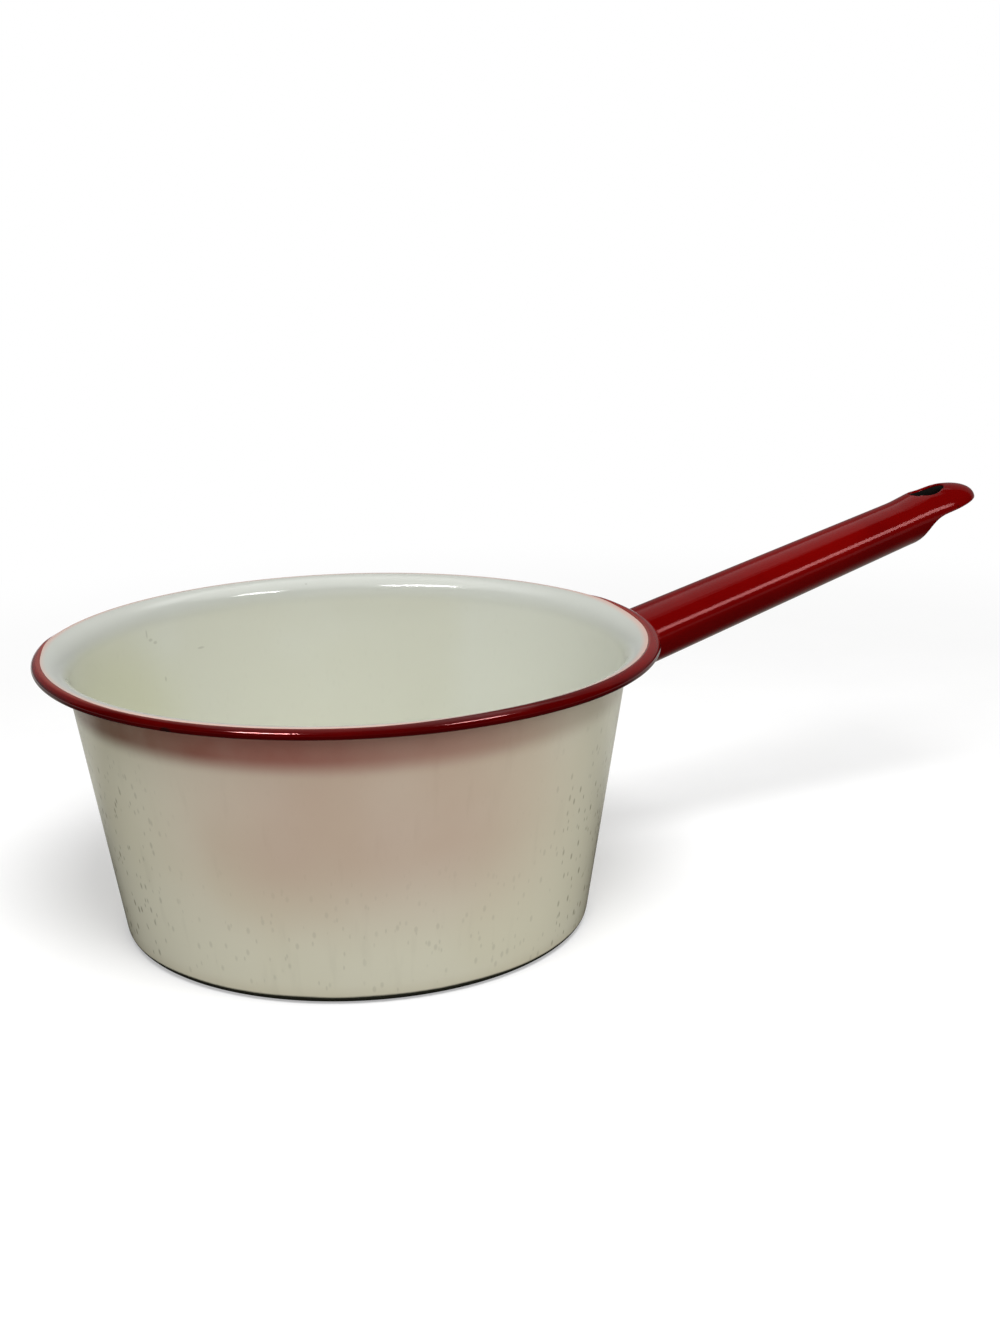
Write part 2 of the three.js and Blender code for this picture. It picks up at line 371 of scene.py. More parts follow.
cut_start = handle_length - tongue_length
cut_end = cut_start + cut_length
swell_start = cut_start - swell_lead
hole_middle = handle_length - hole_from_tip
roll_middle = roll_centre()
axis_under_roll = roll_radius + half_sheet + coat + handle_under_rim + root_diameter / 2
handle_height = (
    roll_middle.z
    + (rim_radius - roll_middle.x) * math.tan(handle_pitch)
    - axis_under_roll / math.cos(handle_pitch)
)
handle_frame = Matrix.Translation((rim_radius, 0, handle_height)) @ Matrix.Rotation(-handle_pitch, 4, "Y")
print("the handle's axis leaves the rim", round(handle_height / MM, 2), "mm above the base")


# %% The formula of the handle's face
def tube_radius(s):
    return lerp(root_diameter, tail_diameter, s / cut_start) / 2


def nose_share(from_tip, length):
    left = 1 - clamp(from_tip / length)
    return math.sqrt(1 - left * left)


def handle_sizes(s):
    """Half width, crest height and belly depth of the handle at s along its axis."""
    opening = smooth(s, swell_start, swell_start + swell_length)
    tube = tube_radius(min(s, cut_start))
    from_tip = handle_length - s
    width = lerp(tube, tongue_width / 2, opening) * nose_share(from_tip, nose_length)
    crown = lerp(tube, tongue_crown, opening) * nose_share(from_tip, nose_fall)
    return width, crown, min(tube, crown)


def handle_point(s, angle, lift=0.0):
    width, crown, belly = handle_sizes(s)
    height = crown if math.cos(angle) > 0 else belly
    return Vector((s, (width + lift) * math.sin(angle), (height + lift) * math.cos(angle)))


print("at the hole the handle is", round(2 * handle_sizes(hole_middle)[0] / MM, 1), "mm wide")

# %% [markdown]
# ## Where the handle meets the wall
# The end of the tube is cut to fit the leaning, flaring wall. That cut is a saddle curve with no simple
# formula, so each line along the tube is followed inwards until it reaches the wall, by halving.
# The same search, with a slightly fatter tube, later gives the foot of the weld.

# %% Find the root of each line along the tube
halvings = 30


def wall_radius(z):
    """Radius of the body's outer face at a height on the wall or the flare."""
    flare_centre = pan_height - half_sheet - flare_radius
    outer_flare = flare_radius - half_sheet
    if z < flare_centre + outer_flare * math.cos(wall_heading):
        return base_diameter / 2 + z * math.tan(wall_lean)
    rise = min(z - flare_centre, outer_flare)
    return lip_radius - math.sqrt(outer_flare * outer_flare - rise * rise)


def root_reach(angle, lift=0.0):
    inside = base_diameter / 2 - rim_radius
    outside = cut_start / 2
    for _ in range(halvings):
        middle = (inside + outside) / 2
        place = handle_frame @ handle_point(middle, angle, lift)
        if place.xy.length < wall_radius(place.z):
            inside = middle
        else:
            outside = middle
    return outside


print("the tube's crest reaches the wall at s =", round(root_reach(0.0) / MM, 2),
      "mm, its belly at s =", round(root_reach(math.pi) / MM, 2), "mm")

# %% [markdown]
# ## Rolling the handle
# The maker starts from a flat blank, punches the hanging hole and rolls the blank up. The mesh is made in
# the same order. A grid is the blank: its rows run across, its columns along. A block of faces is punched
# out, and the rows round it are eased into rings, so the hole gets a clean oval edge without any boolean.
# Then every vertex is rolled to its place by the formula. Solidify gives the sheet its thickness
# inwards, and one level of subdivision rounds the sheet's cut edges as enamel does.

# %% Lay out the blank
tube_rows = 30
cut_rows = 28
nose_rows = 40
rows = tube_rows + cut_rows + nose_rows
columns = 80
hole_row = tube_rows + cut_rows
block_back = 26
block_front = 20
block_side = 25
punched_share = 0.5
root_sink = 0.3 * MM


def edge_angle(row):
    """How far round from the crest the sheet reaches in a row of the blank."""
    if row <= tube_rows:
        return math.pi - math.asin(seam_gap / 2 / tube_radius(cut_start * row / tube_rows))
    slit = math.pi - math.asin(seam_gap / tail_diameter)
    lowest = lerp(-tail_diameter / 2, -tongue_lip, smooth(row, tube_rows, hole_row))
    belly = max(handle_sizes(row_station(row))[2], tongue_lip / 2)
    return min(slit, math.acos(clamp(lowest / belly, -1, 1)))


def row_station(row):
    """Distance along the handle of a row past the tube: the cut's S curve, then the nose."""
    if row <= hole_row:
        t = (row - tube_rows) / cut_rows
        return cut_start + cut_length * (3 * cut_bow * t * (1 - t) + t * t * t)
    return lerp(cut_end, handle_length, math.sin(math.pi / 2 * (row - hole_row) / nose_rows))


def blank_place(row, column):
    angle = edge_angle(row) * (2 * column / columns - 1)
    if row > tube_rows:
        return Vector((row_station(row), angle))
    return Vector((lerp(root_reach(angle) - root_sink, cut_start, row / tube_rows), angle))


print("the blank has", rows, "rows and", columns, "columns")

# %% Punch the hole and roll the blank
def grid_position(place, x_steps, y_steps):
    """Which row and column a place has on a grid that was made with size 1."""
    return (place.x + 1) / 2 * x_steps, (place.y + 1) / 2 * y_steps


def block_span(row):
    return block_back if row < hole_row else block_front


def block_position(row, column):
    """Where a grid point lies in the block round the hole: 0 is the hole's middle, 1 the block's edge."""
    return (row - hole_row) / block_span(row), (column - columns / 2) / block_side


def punched_place(row, column):
    """Where a grid point goes, as distance along the handle and angle round it."""
    along, across = block_position(row, column)
    reach = max(abs(along), abs(across))
    if reach >= 1:
        return blank_place(row, column)
    edge_row = hole_row + along / reach * block_span(row)
    outer = blank_place(edge_row, columns / 2 + across / reach * block_side)
    turn = math.atan2(across, along)
    hole_s = hole_middle + hole_length / 2 * math.cos(turn)
    hole_y = hole_width / 2 * math.sin(turn)
    hole_edge = Vector((hole_s, math.asin(hole_y / handle_sizes(hole_s)[0])))
    return hole_edge.lerp(outer, (reach - punched_share) / (1 - punched_share))


def make_handle():
    blank = bmesh.new()
    bmesh.ops.create_grid(blank, x_segments=rows, y_segments=columns, size=1)
    inside_hole = []
    for face in blank.faces:
        along, across = block_position(*grid_position(face.calc_center_median(), rows, columns))
        if max(abs(along), abs(across)) < punched_share:
            inside_hole.append(face)
    bmesh.ops.delete(blank, geom=inside_hole, context="FACES")
    for vert in blank.verts:
        row, column = grid_position(vert.co, rows, columns)
        s, angle = punched_place(round(row), round(column))
        vert.co = handle_point(s, angle)
    bmesh.ops.remove_doubles(blank, verts=blank.verts, dist=merge_distance)
    bmesh.ops.recalc_face_normals(blank, faces=blank.faces)
    crest = max(blank.faces, key=lambda face: face.calc_center_median().z)
    if crest.normal.z < 0:
        bmesh.ops.reverse_faces(blank, faces=blank.faces)
    bmesh.ops.transform(blank, matrix=handle_frame, verts=blank.verts)
    return make_piece("rolled_handle", blank, "handle")


rolled_handle = make_handle()

# %% Give the handle its sheet thickness and rounded edges
handle_wall = rolled_handle.modifiers.new("sheet", "SOLIDIFY")
handle_wall.thickness = handle_sheet
handle_wall.offset = -1
handle_wall.use_even_offset = True
handle_wall.material_offset = 1
handle_soft = rolled_handle.modifiers.new("enamel_rounding", "SUBSURF")
handle_soft.levels = 1
handle_soft.render_levels = 1
print("handle modifiers:", [modifier.name for modifier in rolled_handle.modifiers])

# %% [markdown]
# ## The weld at the handle's root
# The tube is welded to the wall all round, and the enamel fills the corner with a hollow fillet. A fillet
# like this can be had from a bevel on a boolean joint, but the joint's edges are uneven there.
# So a strip is laid out as a grid, wrapped once round the root and closed on itself: each of its cross
# sections is a curve from the tube to the wall that leaves both of them flat, plus one hidden corner.

# %% Wrap the weld round the root
weld_leg = 2.6 * MM
weld_around = 96
weld_face = 8
weld_hollow = 0.15
weld_ripple = 0.07
weld_waves = 5
weld_wave_start = 1.0
weld_small_waves = 13
weld_hide = 0.5 * MM


def weld_profile(angle, step):
    """A point of the weld's cross section: steps up to weld_face are its face, the last is hidden."""
    wave = math.sin(weld_waves * angle + weld_wave_start) + math.sin(weld_small_waves * angle) / 2
    leg = weld_leg * (1 + weld_ripple * wave)
    corner_s = root_reach(angle)
    if step > weld_face:
        return handle_frame @ handle_point(corner_s - weld_hide, angle, -weld_hide)
    corner = handle_frame @ handle_point(corner_s, angle)
    on_tube = handle_frame @ handle_point(corner_s + leg, angle)
    on_wall = handle_frame @ handle_point(root_reach(angle, leg), angle, leg)
    hollow = corner.lerp((on_tube + on_wall) / 2, weld_hollow)
    share = step / weld_face
    return on_tube.lerp(hollow, share).lerp(hollow.lerp(on_wall, share), share)


def make_weld():
    strip = bmesh.new()
    across = weld_face + 2
    bmesh.ops.create_grid(strip, x_segments=weld_around, y_segments=across, size=1)
    for vert in strip.verts:
        turn, step = grid_position(vert.co, weld_around, across)
        angle = math.tau * (round(turn) % weld_around) / weld_around
        vert.co = weld_profile(angle, round(step) % across)
    bmesh.ops.remove_doubles(strip, verts=strip.verts, dist=merge_distance)
    bmesh.ops.recalc_face_normals(strip, faces=strip.faces)
    return make_piece("root_weld", strip, "handle_weld")


root_weld = make_weld()

# %% [markdown]
# ## A shorthand for finishes
# Enamel is glass with colour in it. It never looks flat: the colour is cloudy, it runs thin on edges, dirt
# sits in pin holes, and the fired surface has a fine orange peel that breaks up every reflection.
# All of that is built from noise in the object's own coordinates, so it stays put from every side.
# Nodes could be wired one by one, but that soon hides what they are for. Two small classes keep it short:
# one wires any node tree, the other adds the patterns of a fired surface. Each finish below then reads as
# a list of what it shows.

# %% Wiring helpers
def linear(red, green, blue):
    """A colour as the eye names it, 0 to 255, turned into the light values that shaders use."""
    def channel(value):
        share = value / 255
        return share / 12.92 if share <= 0.04045 else ((share + 0.055) / 1.055) ** 2.4
    return (channel(red), channel(green), channel(blue), 1.0)


def grey(level):
    return (level, level, level, 1.0)


class Wiring:
    """The nodes of one material or world. A value is a number, a colour or the output of a node."""

    def __init__(self, tree):
        self.tree = tree

    def node(self, kind, inputs=None, **settings):
        made = self.tree.nodes.new(kind)
        for name, value in settings.items():
            setattr(made, name, value)
        for name, value in (inputs or {}).items():
            self.plug(value, made.inputs[name])
        return made

    def plug(self, value, socket):
        if isinstance(value, bpy.types.NodeSocket):
            self.tree.links.new(value, socket)
        else:
            socket.default_value = value

    def math(self, operation, a, b=0.0):
        return self.node("ShaderNodeMath", {0: a, 1: b}, operation=operation).outputs[0]

    def vector(self, operation, a, b=(0, 0, 0)):
        return self.node("ShaderNodeVectorMath", {0: a, 1: b}, operation=operation).outputs

    def times(self, first, *others):
        product = first
        for other in others:
            product = self.math("MULTIPLY", product, other)
        return product

    def scaled(self, value, factor, plus):
        inputs = {0: value, 1: factor, 2: plus}
        return self.node("ShaderNodeMath", inputs, operation="MULTIPLY_ADD").outputs[0]


# %% Patterns of a fired surface
class Finish(Wiring):
    spot_core = 0.4  # share of a spot's radius that has its full colour

    def __init__(self, name):
        self.material = bpy.data.materials.new(name)
        self.material.use_nodes = True
        super().__init__(self.material.node_tree)
        self.shader = self.tree.nodes["Principled BSDF"]
        self.place = self.node("ShaderNodeTexCoord").outputs["Object"]

    def fade(self, value, start, end):
        """0 before start, 1 after end, smooth between. End may be lower than start."""
        inputs = {"Value": value, "From Min": start, "From Max": end}
        return self.node("ShaderNodeMapRange", inputs, interpolation_type="SMOOTHSTEP").outputs["Result"]

    def blend(self, share, a, b):
        return self.node("ShaderNodeMix", {0: share, 6: a, 7: b}, data_type="RGBA").outputs[2]

    def stretched(self, scale):
        return self.node("ShaderNodeMapping", {"Vector": self.place, "Scale": scale}).outputs["Vector"]

    def noise(self, size, detail=2.0, roughness=0.5, stretch=(1, 1, 1)):
        """Cloudy noise whose blots are about as large as size."""
        vector = self.stretched(stretch)
        inputs = {"Vector": vector, "Scale": 1 / size, "Detail": detail, "Roughness": roughness}
        return self.node("ShaderNodeTexNoise", inputs).outputs["Fac"]

    def specks(self, spacing, radius, share, stretch=(1, 1, 1)):
        """Round spots of the given radius on about this share of cells that are one spacing wide."""
        inputs = {"Vector": self.stretched(stretch), "Scale": 1 / spacing}
        cells = self.node("ShaderNodeTexVoronoi", inputs)
        lot = self.node("ShaderNodeSeparateColor", {"Color": cells.outputs["Color"]}).outputs["Red"]
        chosen = self.math("LESS_THAN", lot, share)
        reach = radius / spacing
        spot = self.fade(cells.outputs["Distance"], reach, self.spot_core * reach)
        return self.times(spot, chosen)

    def mark(self, centre, half_size):
        """One soft mark: 1 in its middle, 0 beyond its half sizes along X, Y and Z, in millimetres."""
        shrink = tuple(1 / (side * MM) for side in half_size)
        away = self.vector("SUBTRACT", self.place, Vector(centre) * MM)["Vector"]
        away = self.vector("MULTIPLY", away, shrink)["Vector"]
        return self.fade(self.vector("LENGTH", away)["Value"], 1.0, self.spot_core)

    def bump(self, height, strength, distance, normal=None):
        inputs = {"Height": height, "Strength": strength, "Distance": distance}
        if normal is not None:
            inputs["Normal"] = normal
        return self.node("ShaderNodeBump", inputs).outputs["Normal"]

    def finish(self, **sockets):
        """Fills the shader's sockets by name: base_color is Base Color, specular_ior_level has IOR."""
        for name, value in sockets.items():
            title = name.replace("_", " ").title().replace("Ior", "IOR")
            self.plug(value, self.shader.inputs[title])
        return self.material


def dress(piece, material):
    piece.data.materials.append(material)
    print(piece.name, "wears", material.name, "with", len(material.node_tree.nodes), "nodes")


# %% [markdown]
# ## Cream enamel
# The cream coat is slightly green inside, with faint clouds, one large tea stain and a few short scratches.
# It is cooler on the lip, and darker there as painted shade for the light that falls on it from above, and
# warmer outside, where the heat of the hob has worked on it. Outside, thin streaks ran down before firing,
# and pin holes hold dirt low down and at the sides. At the base corner the glass is thin and the dark
# ground coat shows through, and that dark band is widened as a painted contact shadow; a rusty stain lies
# above it, and the underside is burnt. A pink margin lies on the cream beside the coat. Under the rim a
# dark band is partly red overspray and partly painted shade and painted reflection of the red rim, and down
# the front a pale pink is a painted reflection.
# Such marks could be painted on a picture, but that takes a UV map. Here each one is a mask made from the
# height, the radius and the direction of a point, all read from Object coordinates.

# %% Find the zones of the pan
upright_range = (0.05, -0.05)


def facing_up(enamel):
    """1 where the surface looks straight up, 0 where it is upright, -1 where it looks down."""
    normal = enamel.node("ShaderNodeNewGeometry").outputs["Normal"]
    return enamel.node("ShaderNodeSeparateXYZ", {"Vector": normal}).outputs["Z"]


def faces_outwards(enamel):
    """1 where the sheet faces out or down, 0 where it faces in or up."""
    return enamel.fade(facing_up(enamel), *upright_range)


def pan_zones(enamel):
    """Height, radius and direction of a point of the pan."""
    parts = enamel.node("ShaderNodeSeparateXYZ", {"Vector": enamel.place}).outputs
    flat = enamel.vector("MULTIPLY", enamel.place, (1, 1, 0))["Vector"]
    radius = enamel.vector("LENGTH", flat)["Value"]
    return parts["Z"], radius, enamel.math("ARCTAN2", parts["Y"], parts["X"])


def away_from(enamel, azimuth, direction):
    """How far round the pan, in radians, a point lies from a direction, either way."""
    return enamel.math("PINGPONG", enamel.math("SUBTRACT", azimuth, direction), math.pi)


def past_coat_edge(enamel, radius, azimuth):
    """How far outside the edge of the red coat a point lies, with the coat's dip near the handle."""
    dip = enamel.fade(away_from(enamel, azimuth, handle_dip_azimuth), handle_dip_end, handle_dip_full)
    return enamel.math("SUBTRACT", radius, enamel.scaled(dip, -handle_dip, coat_edge_radius))


# %% Colour the cream
cream_inside = linear(211, 213, 202)
cream_clouded = linear(208, 209, 195)
cream_stained = linear(205, 206, 183)
# the lip is cooler, and darkened as painted shade to hold back the light it gets from above
cool_lip_with_painted_shade = linear(187, 190, 184)
cream_outside = linear(209, 206, 187)
cream_baked = linear(206, 202, 181)
dirt_colour = linear(96, 92, 74)
cloud_size = 60 * MM
cloud_range = (0.38, 0.62)
tea_stain = ((-72.0, 55.0, 62.0), (62.0, 50.0, 44.0))
lip_heights = (pan_height - 10 * MM, pan_height - 3 * MM)
lip_share = 0.8
streak_width = 5 * MM
streak_stretch = (1, 1, 0.08)
streak_range = (0.55, 0.8)
streak_share = 0.06


def cream_colour(enamel, height, outside):
    """Clouded cream, stained inside, cool and darkened as painted shade on the lip, and streaked outside.
    """
    clouds = enamel.fade(enamel.noise(cloud_size), *cloud_range)
    inner = enamel.blend(clouds, cream_inside, cream_clouded)
    inner = enamel.blend(enamel.mark(*tea_stain), inner, cream_stained)
    lip = enamel.times(enamel.fade(height, *lip_heights), lip_share)
    inner = enamel.blend(lip, inner, cool_lip_with_painted_shade)
    outer = enamel.blend(clouds, cream_outside, cream_baked)
    streaks = enamel.fade(enamel.noise(streak_width, detail=3, stretch=streak_stretch), *streak_range)
    outer = enamel.blend(enamel.times(streaks, streak_share), outer, dirt_colour)
    return enamel.blend(outside, inner, outer)


print("the cooler lip starts", round(lip_heights[0] / MM, 1), "mm above the base")

# %% Mark the wall
smooth_side = math.radians(-110)
patch_size = 22 * MM
patch_range = (0.22, 0.42)
pitted_turn = (math.radians(34), math.radians(62))
pitted_heights = (92 * MM, 55 * MM)
back_turn = (math.radians(80), math.radians(115))
fewer_at_back = 0.6
low_heights = (60 * MM, 18 * MM)
low_share = 0.3
least_share = 0.03
scratch_share = 0.22
inside_scratches = (
    ((-51.1, 81.1, 90.4), (0.5, 0.8, 2.6)),
    ((-49.7, 81.6, 88.0), (1.5, 1.2, 0.8)),
    ((-47.6, 82.4, 86.6), (1.3, 1.2, 0.8)),
    ((-27.9, 89.9, 80.4), (2.2, 1.2, 0.6)),
    ((-44.7, 81.3, 72.2), (0.6, 0.8, 1.3)),
    ((18.5, 97.8, 98.8), (0.7, 0.7, 0.7)),
)


def wall_marks(enamel, height, azimuth, outside):
    """Pin holes and short dashes, in patches, thicker low down and beside the smooth side, rare inside."""
    patches = enamel.fade(enamel.noise(patch_size), *patch_range)
    pits = enamel.specks(spacing=3.4 * MM, radius=0.85 * MM, share=0.8, stretch=(1, 1, 0.5))
    fine_pits = enamel.specks(spacing=2.2 * MM, radius=0.45 * MM, share=0.6, stretch=(1, 1, 0.35))
    marks = enamel.times(enamel.math("MAXIMUM", pits, fine_pits), patches)
    low = enamel.times(enamel.fade(height, *low_heights), low_share)
    turned = away_from(enamel, azimuth, smooth_side)
    behind = enamel.scaled(enamel.fade(turned, *back_turn), -fewer_at_back, 1.0)
    sides = enamel.times(enamel.fade(turned, *pitted_turn), behind, enamel.fade(height, *pitted_heights))
    share = enamel.times(outside, enamel.math("MAXIMUM", low, sides))
    return enamel.times(marks, enamel.math("MAXIMUM", share, least_share))


def scratched(enamel, colour):
    for centre, half_size in inside_scratches:
        scratch = enamel.times(enamel.mark(centre, half_size), scratch_share)
        colour = enamel.blend(scratch, colour, dirt_colour)
    return colour


print("the inner wall has", len(inside_scratches), "scratches")

# %% Thin the glass at the base and paint its contact shadow
# the dark band at the base corner is partly ground coat and partly a painted contact shadow
ground_coat_and_shadow_colour = linear(40, 40, 32)
rust_colour = linear(170, 150, 112)
burnt_colour = linear(70, 58, 48)
edge_wander = 1.2 * MM
wander_size = 30 * MM
rust_heights = (8 * MM, 2 * MM)
rust_share = 0.15
dark_edge_heights = (3.2 * MM, 2.3 * MM)
corner_radii = (base_flat - 1.5 * MM, base_flat)
under_heights = (0.45 * MM, 0.2 * MM)
scorch_size = 26 * MM
scorch_range = (0.35, 0.65)
scorch_share = 0.8


def base_edge(enamel, colour, height, radius, outside):
    """The dark base corner, ground coat through thin glass widened by a painted contact shadow, a stain
    above, a burnt underside.
    """
    uneven = enamel.scaled(enamel.noise(wander_size, detail=4), edge_wander, -edge_wander / 2)
    low = enamel.math("ADD", height, uneven)
    rust = enamel.times(enamel.fade(low, *rust_heights), outside, rust_share)
    colour = enamel.blend(rust, colour, rust_colour)
    corner = enamel.times(enamel.fade(radius, *corner_radii), outside)
    # painted contact shadow: this band of ground coat is widened to stand in for the shadow at the base
    thin = enamel.times(enamel.fade(low, *dark_edge_heights), corner)
    colour = enamel.blend(thin, colour, ground_coat_and_shadow_colour)
    scorch = enamel.fade(enamel.noise(scorch_size, detail=5, roughness=0.6), *scorch_range)
    burnt = enamel.times(enamel.fade(height, *under_heights), scorch, scorch_share)
    return enamel.blend(burnt, colour, burnt_colour)


print("the dark corner ends about", round(dark_edge_heights[0] / MM, 1), "mm above the base")

# %% Tint the margin, and paint reflection and shade under the rim and down the front
margin_colour = linear(216, 176, 162)
margin_width = 2.8 * MM
margin_share = 0.85
# painted reflection: a pale pink down the front of the wall, centred at this azimuth
pink_reflection_colour = linear(150, 30, 24)
pink_reflection_azimuth = math.radians(-108)
pink_reflection_turn = (math.radians(60), math.radians(12))
pink_reflection_heights = (12 * MM, 58 * MM)
pink_reflection_share = 0.32
# partly red overspray, partly painted shade under the rim's overhang and a painted reflection of the red
# rim, redder in front
overspray_and_shade_colour = linear(104, 62, 42)
overspray_shade_and_red_reflection_colour = linear(132, 42, 34)
hollow_heights = (pan_height - 20.5 * MM, pan_height - 13 * MM)
hollow_turn = (math.radians(10), math.radians(110))


def red_margin(enamel, colour, radius, azimuth, outside):
    """A soft pink margin on the lip, beside the red coat."""
    margin = enamel.fade(past_coat_edge(enamel, radius, azimuth), -margin_width, 0.0)
    inner = enamel.times(margin, enamel.math("SUBTRACT", 1.0, outside), margin_share)
    return enamel.blend(inner, colour, margin_colour)


def pink_reflection_and_rim_shade(enamel, colour, height, azimuth, outside):
    """A painted pink reflection down the front, and under the rim overspray with painted shade and red
    reflection.
    """
    in_front = enamel.fade(away_from(enamel, azimuth, pink_reflection_azimuth), *pink_reflection_turn)
    cloudy = enamel.scaled(enamel.noise(35 * MM, detail=3), factor=0.4, plus=0.8)
    # painted reflection of red light down the front of the wall
    front_reflection = enamel.times(in_front, enamel.fade(height, *pink_reflection_heights), pink_reflection_share, cloudy, outside)
    colour = enamel.blend(front_reflection, colour, pink_reflection_colour)
    # under the rim: partly overspray, partly painted shade and painted reflection of the red rim
    hollow = enamel.times(enamel.fade(height, *hollow_heights), outside)
    patchy = enamel.scaled(enamel.noise(20 * MM, detail=3), factor=0.3, plus=0.58)
    from_handle = away_from(enamel, azimuth, handle_dip_azimuth)
    far_side = enamel.scaled(enamel.fade(from_handle, *hollow_turn), factor=0.75, plus=0.38)
    under_rim_share = enamel.math("MINIMUM", enamel.times(hollow, patchy, far_side), 1.0)
    under_rim_colour = enamel.blend(in_front, overspray_and_shade_colour, overspray_shade_and_red_reflection_colour)
    return enamel.blend(under_rim_share, colour, under_rim_colour)


print("the mist lies round", round(math.degrees(pink_reflection_azimuth)), "degrees")

# %% Make the cream enamel
mark_share = 0.55


def make_cream_enamel():
    enamel = Finish("cream_enamel")
    height, radius, azimuth = pan_zones(enamel)
    outside = faces_outwards(enamel)
    colour = cream_colour(enamel, height, outside)
    colour = red_margin(enamel, colour, radius, azimuth, outside)
    colour = pink_reflection_and_rim_shade(enamel, colour, height, azimuth, outside)
    marks = wall_marks(enamel, height, azimuth, outside)
    colour = enamel.blend(enamel.times(marks, mark_share), colour, dirt_colour)
    colour = scratched(enamel, colour)
    colour = base_edge(enamel, colour, height, radius, outside)
    peel = enamel.bump(enamel.noise(2.6 * MM), strength=0.05, distance=0.3 * MM)
    peel = enamel.bump(enamel.noise(24 * MM, detail=1), strength=0.08, distance=1.0 * MM, normal=peel)
    peel = enamel.bump(marks, strength=-0.25, distance=0.2 * MM, normal=peel)
    gloss = enamel.scaled(enamel.noise(18 * MM, detail=4), factor=0.10, plus=0.07)
    return enamel.finish(base_color=colour, roughness=gloss, normal=peel, specular_ior_level=0.5)


dress(enamelled_pan, make_cream_enamel())

# %% [markdown]
# ## Red enamel
# The red is a deep, clear glass, glossier than the cream. What faces the floor is darker, as painted shade,
# and at the sides of the rim the top is brighter, as painted light; the coat is sheer where it ends. Knocks
# have left small dark chips, one spot of the rim is burnt, and the surface ripples gently. Light that comes
# back through the coloured glass is red too, so the gloss is tinted.
# The rim and the handle could have one material, but they were coated separately and differ a little, so
# one function makes both. Inside, the rolled tube has only the dark ground coat under the colour, made
# darker still as painted shade.

# %% Paint light on the rim's top and thin the coat at its edge
chip_colour = linear(28, 14, 12)
# painted light: the top of the rim is brighter at the sides, where light catches it
lit_top_red = linear(136, 9, 8)
lit_top_turn = (math.radians(35), math.radians(80))
lit_top_tilt = (0.5, 0.95)
sheer_red = linear(172, 92, 80)
sheer_reach = (1.3 * MM, 0.1 * MM)
sheer_share = 0.5
rim_burn = ((-84.6, -67.6, 98.3), (2.6, 2.6, 1.2))
burn_share = 0.8


def rim_shade(enamel, shade):
    """Painted light on top at the sides, sheer where the coat ends, and one burnt spot."""
    radius, azimuth = pan_zones(enamel)[1:]
    sides = enamel.fade(away_from(enamel, azimuth, smooth_side), *lit_top_turn)
    top = enamel.times(enamel.fade(facing_up(enamel), *lit_top_tilt), sides)
    shade = enamel.blend(top, shade, lit_top_red)
    sheer = enamel.fade(past_coat_edge(enamel, radius, azimuth), *sheer_reach)
    shade = enamel.blend(enamel.times(sheer, sheer_share), shade, sheer_red)
    return enamel.blend(enamel.times(enamel.mark(*rim_burn), burn_share), shade, chip_colour)


print("the burnt spot of the rim lies at", rim_burn[0], "mm")

# %% Make the red enamel
rim_thin = linear(88, 2, 2)
rim_thick = linear(74, 1, 2)
rim_chips = 0.03
handle_thin = linear(134, 5, 4)
handle_thick = linear(120, 4, 4)
handle_chips = 0.02
depth_range = (0.3, 0.7)
# painted shade: faces that look down, towards the floor, are darker
underside_shade_red = linear(64, 2, 3)
underside_shade_tilt = (0.3, -0.2)
underside_shade_share = 0.55
red_gloss_tint = (1.0, 0.4, 0.4, 1.0)


def make_red_enamel(name, thin, thick, chips, on_rim=False):
    enamel = Finish(name)
    depth = enamel.fade(enamel.noise(26 * MM, detail=3), *depth_range)
    shade = enamel.blend(depth, thin, thick)
    # painted shade on what faces the floor
    underside_shade = enamel.times(enamel.fade(facing_up(enamel), *underside_shade_tilt), underside_shade_share)
    shade = enamel.blend(underside_shade, shade, underside_shade_red)
    knocks = enamel.specks(spacing=9 * MM, radius=0.7 * MM, share=chips)
    knocks = enamel.times(knocks, enamel.noise(1.2 * MM, detail=4))
    shade = enamel.blend(knocks, shade, chip_colour)
    if on_rim:
        shade = rim_shade(enamel, shade)
    ripple = enamel.bump(enamel.noise(4 * MM, detail=1), strength=0.006, distance=0.3 * MM)
    ripple = enamel.bump(enamel.noise(20 * MM, detail=1), strength=0.03, distance=1.0 * MM, normal=ripple)
    ripple = enamel.bump(knocks, strength=-0.5, distance=0.25 * MM, normal=ripple)
    gloss = enamel.scaled(enamel.noise(10 * MM, detail=4), factor=0.06, plus=0.08)
    enamel.finish(base_color=shade, roughness=gloss, normal=ripple)
    return enamel.finish(specular_ior_level=0.15, specular_tint=red_gloss_tint)


dress(red_rim, make_red_enamel("red_enamel", rim_thin, rim_thick, rim_chips, on_rim=True))
handle_red = make_red_enamel("handle_enamel", handle_thin, handle_thick, handle_chips)
dress(rolled_handle, handle_red)
dress(root_weld, handle_red)

# %% Coat the inside of the handle
# the dark ground coat, made near black as painted shade for the unlit inside of the tube
shaded_coat_dark = linear(12, 7, 7)
shaded_coat_light = linear(24, 12, 11)
coat_patches = (0.35, 0.7)


def make_ground_coat_and_shade():
    enamel = Finish("handle_ground_coat_and_shade")
    patches = enamel.fade(enamel.noise(8 * MM, detail=4), *coat_patches)
    shade = enamel.blend(patches, shaded_coat_dark, shaded_coat_light)
    grain = enamel.bump(enamel.noise(0.8 * MM, detail=3), strength=0.2, distance=0.2 * MM)
    rough = enamel.scaled(enamel.noise(5 * MM, detail=3), factor=0.25, plus=0.4)
    return enamel.finish(base_color=shade, roughness=rough, normal=grain, specular_ior_level=0.05)


dress(rolled_handle, make_ground_coat_and_shade())

